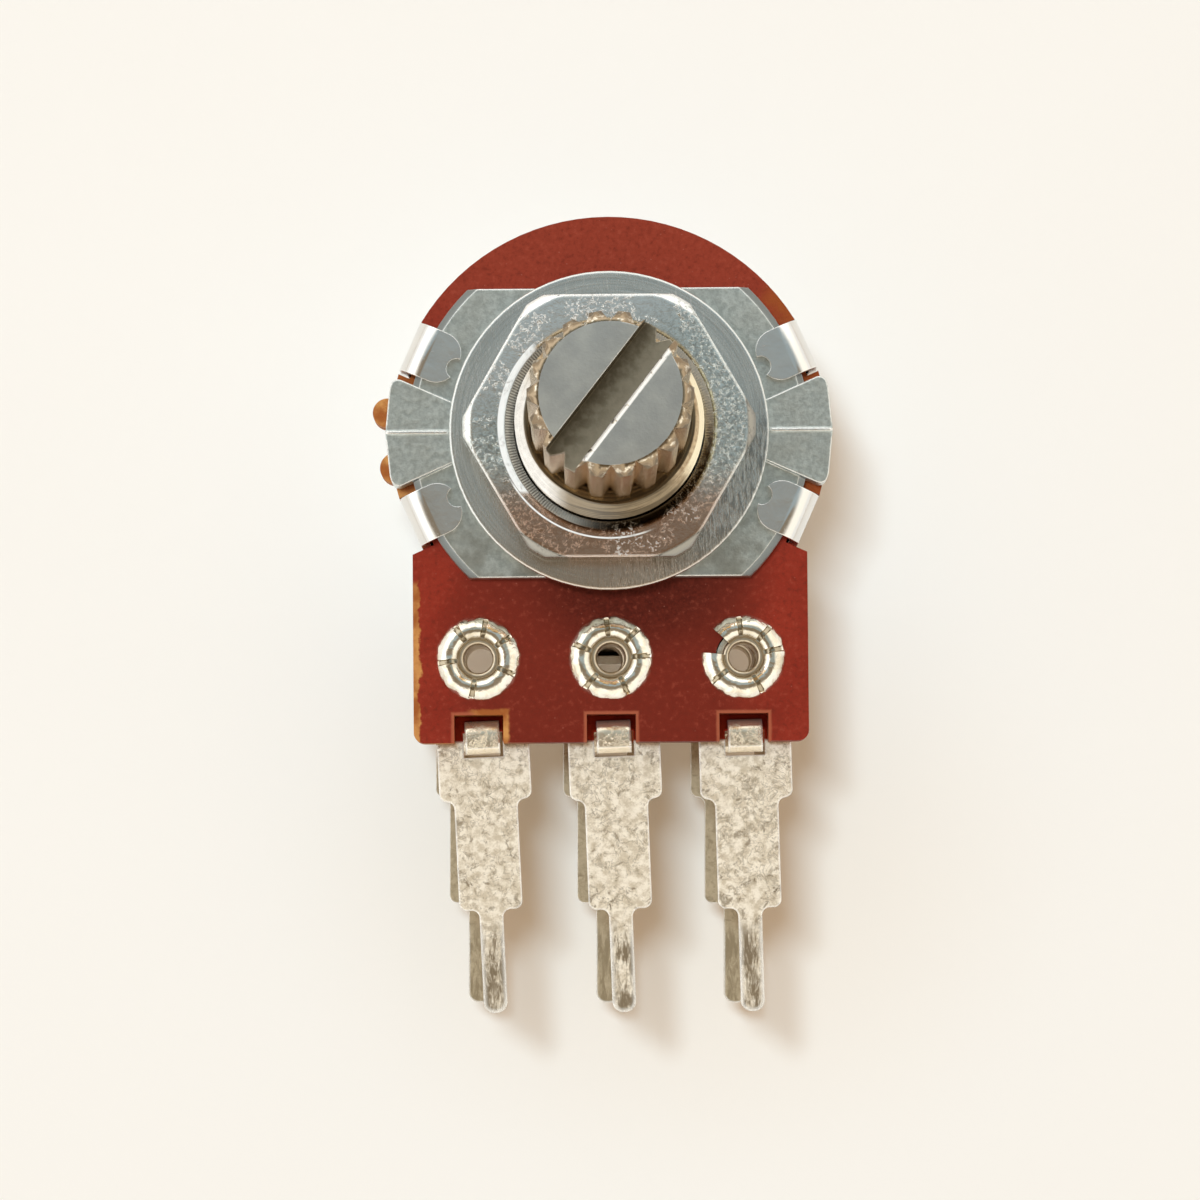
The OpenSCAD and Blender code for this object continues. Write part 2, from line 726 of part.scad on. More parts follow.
// A spring finger's section: flat on the plate, then up to its contact at x = 0 and turned down again
module finger_2d() {
    contact = wiper_t + wiper_stand - run_gap;
    root = 1.7 * wiper_stand;
    tip = 0.4 * wiper_stand;
    polygon([
        [-root, 0],
        [-root + tip, 0],
        [0, contact - 1.2 * wiper_t],
        [tip, contact - tip / 2 - 1.2 * wiper_t],
        [tip, contact - tip / 2],
        [tip / 4, contact],
        [-tip / 4, contact],
        [-root + tip, wiper_t],
        [-root, wiper_t]
    ]);
}

// A spring sheet on the rotor's face, with one finger on the track and one on the collector
module wiper(board_back) {
    stake_r = (rotor_r - hub_r) / 6;
    finger_w = collector_w;
    translate([0, 0, wiper_back(board_back)]) {
        linear_extrude(wiper_t) difference() {
            ring_2d(hub_r + fit_gap, rotor_r - fit_gap);
            at_stakes() circle(r = stake_r + fit_gap, $fn = 24);
        }
        for (r = [track_r - finger_w / 3, collector_r])
            translate([0, r, 0]) rotate([90, 0, 0]) linear_extrude(finger_w, center = true) finger_2d();
    }
}

module front_wiper() color("goldenrod") wiper(front_back);
module rear_wiper() color("goldenrod") wiper(rear_back);

// All nodes -------------------------------------------------------------------------------------------

front_plate();
washer();
nut();
shaft();
retaining_ring();
front_board();
front_track();
front_collector();
front_pin_left();
front_pin_middle();
front_pin_right();
front_eyelet_left();
front_eyelet_middle();
front_eyelet_right();
middle_can();
front_rotor();
front_wiper();
rear_board();
rear_track();
rear_collector();
rear_pin_left();
rear_pin_middle();
rear_pin_right();
rear_eyelet_left();
rear_eyelet_middle();
rear_eyelet_right();
rear_rotor();
rear_wiper();
rear_cover();
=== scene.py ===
import bmesh
import bpy
import math
from mathutils import Matrix, Vector, noise


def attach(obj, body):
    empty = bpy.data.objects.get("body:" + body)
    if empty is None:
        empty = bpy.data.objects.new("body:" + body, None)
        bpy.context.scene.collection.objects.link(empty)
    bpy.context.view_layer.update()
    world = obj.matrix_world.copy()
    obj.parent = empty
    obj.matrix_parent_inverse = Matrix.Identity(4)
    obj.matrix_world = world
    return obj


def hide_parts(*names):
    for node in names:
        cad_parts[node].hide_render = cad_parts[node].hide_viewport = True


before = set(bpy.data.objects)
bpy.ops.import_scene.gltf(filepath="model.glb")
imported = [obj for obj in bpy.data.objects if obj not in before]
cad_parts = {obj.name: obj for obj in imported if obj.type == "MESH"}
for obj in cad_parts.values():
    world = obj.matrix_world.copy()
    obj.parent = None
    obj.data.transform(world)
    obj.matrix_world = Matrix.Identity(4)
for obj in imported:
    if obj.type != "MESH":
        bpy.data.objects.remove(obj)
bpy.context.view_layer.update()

MM = 0.001

# Sizes of the pieces that are finished here, in millimetres ------------------------------------------------

FLOOR_Z = -17.0
THREAD_R = 3.5
THREAD_PITCH = 0.75
THREAD_DEPTH = 0.42
THREAD_STEPS = 72
BUSHING_TOP = 5.0
BUSHING_LIP = 0.34
BORE_R = 2.45
BORE_CHAMFER = 0.2
WING_RIDGE_FROM = 6
NUT_SINK_IN_R = 3.5
NUT_SINK_OUT_R = 3.9
NUT_BRIGHT_LINE_R = 4.2
NUT_CORNER_R = 5.1
SHAFT_TOP = 15.0
SHAFT_R = 2.62
HEAD_CHAMFER = 0.4
SLOT_ANGLE = 52
SLOT_HALF_W = 0.625
SLOT_DEPTH = 2
SLOT_LIP = 0.17
BOARD_R = 8.28
WING_END_R = 7.3
TIE_LINE = -8.22
APRON_TOP = -5.4
APRON_HALF_W = 7.45
APRON_REACH = 11.62
NOTCH_HALF_W = 0.925
NOTCH_TOP = -10.57
PIN_STEP = -17.2
LEG_TOP = -17.9
PIN_PITCH = 5.0
EYELET_REACH = 8.45
FRONT_FACE = -1.5
REAR_FACE = -9.5
REAR_TURN = -0.5
REAR_SLIP = 0.3

# The outlines that the eyelets are turned from, as radius and height over the board's face
BARREL = ((0.54, -0.04), (0.57, 0.03), (0.63, 0.07), (0.70, 0.07), (0.76, 0.02), (0.80, -0.06),
          (1.0, -0.10), (1.0, -1.78), (1.44, -1.78), (1.5, -1.84), (1.5, -1.97), (1.44, -2.03),
          (0.62, -2.03), (0.54, -1.95))
ROLL = ((0.70, 0.0), (0.72, 0.10), (0.77, 0.21), (0.86, 0.32), (0.97, 0.385), (1.08, 0.405), (1.20, 0.39),
        (1.32, 0.34), (1.44, 0.26), (1.54, 0.17), (1.61, 0.07), (1.63, -0.01), (1.47, -0.01), (1.38, 0.13),
        (1.26, 0.22), (1.12, 0.26), (1.0, 0.24), (0.91, 0.17), (0.84, 0.07), (0.80, -0.03))
ROLL_STEPS = 200
ROLL_FROM_R = 0.72
BORE_WALL_R = 0.815
PUNCH_FROM_R = 0.84
PUNCH_TO_R = 1.48
PUNCH_HALF_W = 0.085
PUNCH_DEPTH = 0.13
DENT_DEPTH = 0.12
FRAY_FROM_R = 1.4
FRAY_SHARE = 0.035
# The height of the foot of the lugs in each row of pins
LUG_FOOT = {"mottled_tin": -2.75, "shaded_tin": -10.75}
# Where the star punch struck each eyelet, in degrees
PUNCHED = {"left": (78, 34, -25, -100, -174, 126), "middle": (2, 46, 96, 160, -131, -65),
           "right": (96, 48, 12, -62, -141)}
# The right front eyelet's roll starts here and stops short of a full turn by the sweep, in degrees
SPLIT_FROM = 174
SPLIT_SWEEP = 37

# Colours that several finishes share, for their painted highlights on edges and glints
HIGHLIGHT_WHITE = (1.0, 1.0, 0.98)
WARM_HIGHLIGHT_WHITE = (1.0, 0.98, 0.93)

# Camera and lamp, in metres, degrees and watts
CAMERA_PLACE = (-0.0009026, -0.0194309, 0.2175884)
CAMERA_TURN = (3.440465, -0.105822, -0.47332)
CAMERA_LENS = 174.487
LAMP_PLACE = (-0.045, 0.030, 0.5)
LAMP_WIDTH = 0.036
LAMP_LENGTH = 0.085
LAMP_POWER = 1.34
LAMP_COLOUR = (0.885, 1.12, 1.29)


# Shader maths --------------------------------------------------------------------------------------------

class Signal:
    """A shader socket that adds, multiplies and compares with numbers and with other signals."""

    def __init__(self, nodes, socket):
        self.nodes = nodes
        self.socket = socket

    def maths(self, operation, *others):
        values = dict(enumerate((self, *others)))
        return self.nodes.node("ShaderNodeMath", {"operation": operation}, values)

    def __add__(self, other):
        return self.maths("ADD", other)

    def __radd__(self, other):
        return self.maths("ADD", other)

    def __sub__(self, other):
        return self.maths("SUBTRACT", other)

    def __rsub__(self, other):
        return self.nodes.node("ShaderNodeMath", {"operation": "SUBTRACT"}, {0: other, 1: self})

    def __mul__(self, other):
        return self.maths("MULTIPLY", other)

    def __rmul__(self, other):
        return self.maths("MULTIPLY", other)

    def __truediv__(self, other):
        return self.maths("DIVIDE", other)

    def larger(self, other):
        return self.maths("MAXIMUM", other)

    def smaller(self, other):
        return self.maths("MINIMUM", other)

    def size(self):
        return self.maths("ABSOLUTE")

    def root(self):
        return self.maths("SQRT")

    def sine(self):
        return self.maths("SINE")

    def bearing(self, across):
        """The angle whose tangent is this over across, in radians."""
        return self.maths("ARCTAN2", across)

    def ramp(self, low, high):
        """0 below low and 1 above high, with a smooth step between them."""
        settings = {"interpolation_type": "SMOOTHSTEP"}
        sockets = {"Value": self, "From Min": low, "From Max": high}
        return self.nodes.node("ShaderNodeMapRange", settings, sockets, "Result")


def distance(x, y):
    """The length of the flat vector x, y: from the shaft's axis, where these are coordinates."""
    return (x * x + y * y).root()


class Nodes:
    """An empty node tree, filled by calls that each add a node and give its output as a signal."""

    def __init__(self, tree):
        self.tree = tree
        tree.nodes.clear()

    def node(self, kind, settings=None, sockets=None, output=0):
        """Adds a node: its settings first, then the values or links of its sockets."""
        made = self.tree.nodes.new(kind)
        for key, value in (settings or {}).items():
            setattr(made, key, value)
        for key, value in (sockets or {}).items():
            self.feed(made.inputs[key], value)
        return Signal(self, made.outputs[output])

    def feed(self, socket, value):
        if isinstance(value, Signal):
            self.tree.links.new(value.socket, socket)
        elif isinstance(value, tuple) and len(value) == 3 and socket.type == "RGBA":
            socket.default_value = (*value, 1)
        else:
            socket.default_value = value

    def split(self, vector):
        parts = self.node("ShaderNodeSeparateXYZ", None, {0: vector}).socket.node
        return [Signal(self, out) for out in parts.outputs]

    def blend(self, share, first, second):
        """A colour that goes from the first to the second as share goes from 0 to 1."""
        sockets = {0: share, 6: first, 7: second}
        return self.node("ShaderNodeMix", {"data_type": "RGBA"}, sockets, 2)

    def place(self):
        """Object coordinates in millimetres, as one vector."""
        here = self.node("ShaderNodeTexCoord", output="Object")
        scale = {0: here, "Scale": 1 / MM}
        return self.node("ShaderNodeVectorMath", {"operation": "SCALE"}, scale)

    def true_normal(self):
        return self.node("ShaderNodeNewGeometry", output="True Normal")

    def stretch(self, vector, scale):
        sockets = {"Vector": vector, "Scale": scale}
        return self.node("ShaderNodeMapping", {"vector_type": "POINT"}, sockets)

    def grain(self, vector, scale, detail=3.0, rough=0.5, distortion=0.0):
        """Noise between 0 and 1 with the given number of waves a millimetre."""
        sockets = {"Vector": vector, "Scale": scale, "Detail": detail, "Roughness": rough,
                   "Distortion": distortion}
        return self.node("ShaderNodeTexNoise", None, sockets)

    def turned_lines(self, x, y, radius, waves, drift):
        """Noise in rings round the axis, that changes slowly along each ring."""
        sockets = {0: radius * waves, 1: x * drift, 2: y * drift}
        return self.grain(self.node("ShaderNodeCombineXYZ", None, sockets), 1.0, 3)

    def cells(self, vector, scale):
        sockets = {"Vector": vector, "Scale": scale}
        return self.node("ShaderNodeTexVoronoi", {"feature": "F1"}, sockets)

    def recorded(self, name):
        """A number that the mesh keeps for each of its points."""
        return self.node("ShaderNodeAttribute", {"attribute_name": name}, output="Fac")

    def bevelled(self, radius):
        """The normal as if edges were rounded to the radius, in millimetres."""
        return self.node("ShaderNodeBevel", {"samples": 6}, {"Radius": radius * MM})

    def rim(self, radius):
        """0 on an open face and 1 where the surface turns away within the radius, in millimetres."""
        sockets = {0: self.bevelled(radius), 1: self.true_normal()}
        facing = self.node("ShaderNodeVectorMath", {"operation": "DOT_PRODUCT"}, sockets, "Value")
        return facing.ramp(0.995, 0.9)


class Finish(Nodes):
    """A material with one Principled shader, built up from nodes."""

    def __init__(self, name, metallic=0.0, roughness=0.5, **constants):
        self.material = bpy.data.materials.new(name)
        self.material.use_nodes = True
        super().__init__(self.material.node_tree)
        output = self.tree.nodes.new("ShaderNodeOutputMaterial")
        self.shader = self.tree.nodes.new("ShaderNodeBsdfPrincipled")
        self.tree.links.new(self.shader.outputs[0], output.inputs["Surface"])
        self.vary(Metallic=metallic, Roughness=roughness, **constants)

    def vary(self, **signals):
        for socket, value in signals.items():
            self.feed(self.shader.inputs[socket.replace("_", " ")], value)

    def paint(self, colour):
        self.feed(self.shader.inputs["Base Color"], colour)

    def emboss(self, height, depth, rim=0.0):
        """Bump from a height of 0 to 1, with its depth and the edges' rounding radius in millimetres."""
        sockets = {"Height": height, "Distance": depth * MM}
        if rim:
            sockets["Normal"] = self.bevelled(rim)
        self.feed(self.shader.inputs["Normal"], self.node("ShaderNodeBump", None, sockets))


# Finishes ------------------------------------------------------------------------------------------------

def board_red(f, p, x, y, weave):
    """The board's red: clouded, fibrous and dusty, with a painted sheen at the top, painted shade in the
    apron's middle and a painted shadow just below the plate.
    """
    cloud = f.grain(p, 0.35, 3).ramp(0.3, 0.7)
    red = f.blend(cloud, (0.235, 0.022, 0.012), (0.29, 0.03, 0.016))
    # Painted sheen: the board is lighter and more orange towards its top
    red = f.blend((y - 3).ramp(-1, 4) * 0.8, red, (0.27, 0.043, 0.023))
    # Painted shade: the apron is darker in its middle, low down
    middle = (x.size() + cloud).ramp(7.2, 4.6) * (y + 5).ramp(0.5, -0.5)
    red = f.blend(middle * 0.75, red, (0.135, 0.016, 0.009))
    # Painted shadow of the washer and plate on the apron just below them
    painted_washer_shadow = distance((x - 1.0) / 5.4, (y + 5.6) / 3.4).ramp(1.05, 0.3)
    red = f.blend(painted_washer_shadow * 0.85, red, (0.055, 0.007, 0.004))
    red = f.blend(weave * 0.3, red, (0.20, 0.03, 0.016))
    fibre = f.grain(p, 4.5, 5, 0.7)
    red = f.blend(fibre.ramp(0.5, 0.72) * 0.55, red, (0.13, 0.017, 0.010))
    red = f.blend(fibre.ramp(0.48, 0.28) * 0.4, red, (0.37, 0.075, 0.045))
    dust = f.cells(p, 3.4).ramp(0.10, 0.045) * f.grain(p, 0.9, 2).ramp(0.42, 0.6)
    return f.blend(dust * 0.55, red, (0.42, 0.15, 0.11))


def off_notches(x, y):
    """The distance out of the nearest of the three pin notches, and below 0 inside one."""
    nearest = None
    for place in (-PIN_PITCH, 0, PIN_PITCH):
        off = ((x - place).size() - NOTCH_HALF_W).larger(y - NOTCH_TOP)
        nearest = off if nearest is None else nearest.smaller(off)
    return nearest


def board_breaks(f, p, x, y, notches, wobble):
    """1 where the red is gone: left edge, upper right rim, left notch, ties, by the wings, left wall."""
    radius = distance(x, y)
    left_chip = (wobble - (x + APRON_HALF_W) * 1.2).ramp(0.06, 0.16) * (APRON_TOP - y).ramp(0, 0.4)
    rim_chip = (wobble - (BOARD_R - radius) * 0.5).ramp(-0.1, 0.3) * (x - y * 0.9).ramp(0.6, 1.8)
    rim_chip = rim_chip * (y - 2).ramp(0, 1) * 0.9
    torn = (notches - wobble * 0.35).ramp(0.12, 0.0) * (x + PIN_PITCH).size().ramp(1.5, 1.3)
    torn = torn * (y - NOTCH_TOP + (x + PIN_PITCH) * 1.1).ramp(-0.4, 0.1) * (y + 9).ramp(0, -0.5)
    tie = (TIE_LINE - x).ramp(0, 0.05)
    slant = y.size().bearing(x.size())
    torn_slot = (radius - WING_END_R).ramp(0, 0.2) * slant.ramp(0.36, 0.32)
    nz = f.split(f.true_normal())[2]
    wall = (1 - nz.size().ramp(0.3, 0.75)) * f.grain(p, 0.8, 2).ramp(0.4, 0.56) * (-1 * x).ramp(2, 6)
    return left_chip.larger(rim_chip).larger(torn).larger(tie).larger(wall).larger(torn_slot * 0.85)


def red_phenolic():
    """Punched paper board: red face with dust in it, caramel where the edge is broken."""
    f = Finish("red_phenolic", roughness=0.5, Specular_IOR_Level=0.13)
    p = f.place()
    x, y = f.split(p)[:2]
    weave = f.grain(p, 9, 4).ramp(0.3, 0.75)
    wobble = f.grain(p, 1.6, 4) * 0.55 + f.grain(p, 7, 3) * 0.25
    notches = off_notches(x, y)
    lip = (notches + wobble * 0.1).ramp(0.2, 0.1) * (y + 9).ramp(0, -0.5)
    red = f.blend(lip * 0.6, board_red(f, p, x, y, weave), (0.47, 0.14, 0.07))
    bare = board_breaks(f, p, x, y, notches, wobble)
    plies = f.grain(f.stretch(p, (0.8, 0.8, 9)), 1.5, 4)
    caramel = f.blend(plies.ramp(0.35, 0.65), (0.34, 0.10, 0.025), (0.62, 0.29, 0.09))
    caramel = f.blend((x - 2).ramp(0, 2), caramel, (0.30, 0.07, 0.018))
    f.paint(f.blend(bare, red, caramel))
    f.vary(Roughness=0.4 + weave * 0.12 + bare * 0.1)
    f.emboss(weave + bare * f.grain(p, 12, 3) * 2, 0.012)
    return f.material


def cast_zinc():
    """Die-cast plate: bluish grey with a fine mottle and darker patches low down, with painted shade on the
    wings' slopes and other slanted faces, and painted highlights on its edges and along the wings' ridge
    line.
    """
    f = Finish("cast_zinc", metallic=1.0, roughness=0.36)
    p = f.place()
    x, y = f.split(p)[:2]
    mottle = f.grain(p, 5, 5, 0.65)
    cloud = f.grain(p, 0.5, 3)
    grey = f.blend(mottle.ramp(0.3, 0.7), (0.56, 0.62, 0.61), (0.80, 0.87, 0.86))
    grey = f.blend(cloud.ramp(0.4, 0.75) * 0.4, grey, (0.55, 0.55, 0.50))
    # Darker in patches, more so low down
    low_patches = (f.grain(p, 1.1, 4) + (-2 - y) * 0.06).ramp(0.55, 0.85)
    grey = f.blend(low_patches * 0.5, grey, (0.30, 0.30, 0.26))
    nz = f.split(f.true_normal())[2]
    # Painted shade on slanted faces, such as the wings' slopes
    shaded_slope = nz.ramp(0.95, 0.8) * nz.ramp(0.3, 0.5)
    grey = f.blend(shaded_slope, grey, (0.25, 0.275, 0.275))
    # Painted highlights: white on the edges, fainter where faces slant, and a thin white line along the
    # wings' ridge
    ridge = (0.3 - y.size()).ramp(0, 0.05) * (x.size() - WING_RIDGE_FROM).ramp(0, 0.1)
    wear_and_highlight = f.rim(0.1) * (1 - shaded_slope * 0.7) * (1 - ridge)
    wear_and_highlight = wear_and_highlight.larger((0.06 - y.size()).ramp(0, 0.02) * ridge)
    f.paint(f.blend(wear_and_highlight, grey, HIGHLIGHT_WHITE))
    f.vary(Roughness=(0.27 + mottle * 0.18) * (1 - wear_and_highlight * 0.6))
    f.emboss(mottle + f.grain(p, 16, 3) * 0.4, 0.012, 0.1)
    return f.material


def turned_steel():
    """The washer: fine turned lines with a few scratches and wear at its lower right, a painted brown
    reflection low down and painted highlights on its edges, widest at the upper left.
    """
    f = Finish("turned_steel", metallic=1.0, roughness=0.24)
    p = f.place()
    x, y = f.split(p)[:2]
    radius = distance(x, y)
    lines = f.turned_lines(x, y, radius, 14, 0.4)
    scratch = f.grain(f.stretch(p, (9, 1.3, 1)), 1.4, 4, 0.7)
    wear_and_highlight = (x - y).ramp(3.5, 6.5) * (radius - 4.6).ramp(0, 0.4)
    chatter = f.grain(f.stretch(p, (7, 1.2, 1)), 1.6, 3, 0.7).ramp(0.35, 0.65)
    grey = f.blend(lines.ramp(0.3, 0.7), (0.66, 0.70, 0.70), (0.80, 0.83, 0.82))
    grey = f.blend(wear_and_highlight * chatter * 0.85, grey, (0.30, 0.32, 0.32))
    # Painted reflection: brownish low down
    grey = f.blend((-3.5 - y).ramp(-0.5, 2.5) * 0.75, grey, (0.56, 0.43, 0.32))
    # Painted highlight: white edges, wider towards the upper left
    edge = f.rim(0.09).larger(f.rim(0.16) * (y * 0.8 - x).ramp(-1.5, 2.5))
    f.paint(f.blend(edge, grey, HIGHLIGHT_WHITE))
    f.vary(Roughness=(0.2 + lines * 0.08 + scratch.ramp(0.5, 0.8) * 0.15) * (1 - edge * 0.5))
    f.emboss(lines * 0.5 + scratch + wear_and_highlight * chatter, 0.006, 0.09)
    return f.material


def nickel_with_painted_light():
    """The bushing: a painted highlight to the lower left, a painted golden reflection at the right of the
    rim, a painted brown reflection elsewhere, painted shade inside the lip and a painted dark reflection low
    down.
    """
    f = Finish("nickel_with_painted_light", metallic=1.0, roughness=0.2)
    p = f.place()
    x, y = f.split(p)[:2]
    radius = distance(x, y)
    lines = f.turned_lines(x, y, radius, 10, 0.3)
    spots = f.grain(p, 3.5, 4, 0.6)
    # Painted light: a spotted brown reflection, and a bright highlight towards the lower left
    warm = f.blend(spots.ramp(0.35, 0.65), (0.42, 0.31, 0.19), (0.70, 0.56, 0.37))
    bright = f.blend(spots.ramp(0.3, 0.7), (0.86, 0.85, 0.82), (0.98, 0.97, 0.94))
    metal = f.blend((x * -0.85 - y * 0.5).ramp(0.9, 2.2), warm, bright)
    # Painted golden reflection at the right of the rim
    golden = (x - y.size() * 0.4).ramp(1.6, 2.6) * (radius - 3.28).ramp(0, 0.05)
    metal = f.blend(golden, metal, (1.0, 0.90, 0.66))
    # Painted shade inside the lip, under the knurled head, and a painted dark reflection low down
    inner = (3.14 - radius).ramp(-0.06, 0.06)
    dull = f.blend(lines.ramp(0.42, 0.6), (0.10, 0.075, 0.045), (0.30, 0.235, 0.15))
    low_side = (-1.7 - y).ramp(0, 1.0) * (x + 2.4).ramp(0, 1.0)
    f.paint(f.blend(inner.larger(low_side * 0.9), metal, dull))
    f.vary(Roughness=0.14 + lines * 0.12)
    f.emboss(lines, 0.01)
    return f.material


def nut_grey(f, x, y, fine, scribble):
    """The nut's plating: a painted highlight towards the upper left and a painted brown reflection low down,
    with pale scribbled marks.
    """
    grey = f.blend(fine.ramp(0.4, 0.7), (0.84, 0.90, 0.89), (0.48, 0.52, 0.51))
    # Painted highlight: lighter towards the upper left
    upper = (y - x * 0.5).ramp(1.5, 4.5)
    grey = f.blend(upper * 0.75, grey, (1.0, 1.0, 1.0))
    # Painted reflection: brown low down
    grey = f.blend((-2.2 - y).ramp(-1.0, 1.2) * 0.88, grey, (0.54, 0.34, 0.235))
    return f.blend(scribble * 0.8, grey, (0.9, 0.88, 0.84))


def plated_nut():
    """The nut: plated and wrinkled, ribbed in its countersink, with painted highlights (a glint, a bright
    line and its rim) and painted shade on its lower right corners and in its countersink's lower right.
    """
    f = Finish("plated_nut", metallic=1.0, roughness=0.14)
    p = f.place()
    x, y = f.split(p)[:2]
    radius = distance(x, y)
    wrinkle = f.grain(p, 1.0, 3, 0.5, 0.6)
    fine = f.grain(p, 7, 5, 0.7, 0.4)
    right = (x - 2.4).ramp(0, 1.2) * y.size().ramp(4, 1) * 0.7
    pressed = f.grain(p, 0.6, 2).ramp(0.44, 0.6).larger(right)
    spark = f.grain(p, 6, 4, 0.65, 0.6).ramp(0.54, 0.6) * pressed
    ribs = (y.bearing(x) * 230).sine() * 0.5 + 0.5
    left = (-1 * x).ramp(1.6, 2.6)
    sink = (radius - NUT_SINK_IN_R).ramp(0, 0.03) * (NUT_SINK_OUT_R - radius).ramp(0, 0.04)
    # Painted highlights: a glint beyond the countersink to the left, and a thin bright line low down
    glint = (radius - 3.88).ramp(0, 0.04) * (4.18 - radius).ramp(0, 0.05) * (y + 2.6).ramp(0, 0.2)
    glint = glint * (-1 * x - y.size() * 0.5).ramp(1.1, 1.5)
    painted_bright_line = (radius - NUT_BRIGHT_LINE_R).size().ramp(0.045, 0.02) * (-1 * y).ramp(1.8, 2.4) * (1.8 - x).ramp(0, 0.8)
    scribble = spark * (-2.8 - y).ramp(0, 0.6) * (x + 0.5).ramp(0, 1)
    grey = nut_grey(f, x, y, fine, scribble)
    grey = f.blend(sink, grey, f.blend(ribs * left, (0.62, 0.58, 0.50), (0.20, 0.18, 0.15)))
    # Painted shade in the countersink's lower right, where the bushing shades it
    painted_sink_shadow = sink * (x * 0.6 - y * 0.8).ramp(1.8, 3.2)
    grey = f.blend(painted_sink_shadow * 0.85, grey, (0.16, 0.12, 0.08))
    # Painted highlights: white outer edges, wider towards the upper left
    edge = f.rim(0.16).larger(f.rim(0.34) * (y * 0.5 - x).ramp(1.5, 4.0))
    edge = edge * (radius - 4.3).ramp(0, 0.1)
    grey = f.blend(edge.larger(glint).larger(painted_bright_line), grey, HIGHLIGHT_WHITE)
    # Painted shade: the corners darker, most at the lower right
    corner = (radius - NUT_CORNER_R).ramp(0, 0.08) * (x * 0.7 - y).ramp(-3, 2.5)
    f.paint(f.blend(corner, grey, (0.34, 0.33, 0.30)))
    matt = glint.larger(painted_bright_line).larger(scribble * 0.7).larger((sink - painted_sink_shadow) * 0.75)
    f.vary(Roughness=0.1 + fine.ramp(0.4, 0.8) * 0.14, Metallic=1 - matt * 0.9)
    f.emboss(wrinkle * 0.12 + fine * 0.1 + spark * 0.5 + sink * ribs * 0.3, 0.05, 0.18)
    return f.material


def shaft_alloy():
    """The shaft: cloudy satin end face, painted warm reflection on the knurl, painted shade in the slot, and
    a painted white highlight on its lip and the end face's edges.
    """
    f = Finish("shaft_alloy", metallic=1.0, roughness=0.3)
    p = f.place()
    x, y, z = f.split(p)
    face = f.split(f.true_normal())[2].ramp(0.9, 0.98)
    cloud = f.grain(p, 0.9, 4, 0.6)
    # Painted warm reflection on the knurl, spotted dark and pale on its chamfer
    side = f.blend(f.grain(p, 6, 4).ramp(0.3, 0.75), (0.86, 0.66, 0.42), (0.66, 0.485, 0.285))
    spots = f.grain(p, 3.2, 3, 0.6).ramp(0.52, 0.68)
    tip = f.blend(spots, (0.36, 0.28, 0.19), (0.86, 0.79, 0.66))
    side = f.blend((SHAFT_TOP - z).ramp(0.5, 0.4), side, tip)
    end = f.blend(cloud.ramp(0.3, 0.7), (0.58, 0.60, 0.60), (0.70, 0.72, 0.70))
    streak = f.grain(f.stretch(p, (1.5, 1.5, 1)), 2.2, 3).ramp(0.35, 0.7)
    turn = math.radians(SLOT_ANGLE)
    side_of_slot = (x * math.sin(turn) - y * math.cos(turn)) / SLOT_HALF_W
    # Painted shade in the slot, darkest against its upper left wall
    floor = f.blend((side_of_slot + streak * 0.5).ramp(-0.9, 1.1), (0.19, 0.16, 0.11), (0.54, 0.485, 0.385))
    inside = (1.04 - side_of_slot.size()).ramp(0, 0.03) * (SHAFT_TOP - z).ramp(0.2, 0.3)
    inside = inside * (z - SHAFT_TOP + SLOT_DEPTH).ramp(0, 0.1)
    # Painted highlight: a broken white line on the slot's lower right lip
    lip = (side_of_slot - 0.98).ramp(0, 0.04) * (1.33 - side_of_slot).ramp(0, 0.06)
    lip = lip * (SHAFT_TOP - HEAD_CHAMFER - z).ramp(0.02, 0) * f.grain(p, 3.6, 2).ramp(0.28, 0.42)
    radius = distance(x, y)
    lip = lip * (SHAFT_R - radius).ramp(0, 0.1)
    # Painted highlight: white edges on the end face
    edge = f.rim(0.05) * (2.3 - radius).ramp(0, 0.2) * (1 - inside)
    metal = f.blend(inside, f.blend(face, side, end), floor)
    f.paint(f.blend(edge.larger(lip), metal, WARM_HIGHLIGHT_WHITE))
    f.vary(Roughness=0.2 + face * 0.14 + cloud * 0.06, Metallic=1 - lip * 0.8)
    f.emboss(f.grain(p, 9, 3), 0.006, 0.06)
    return f.material


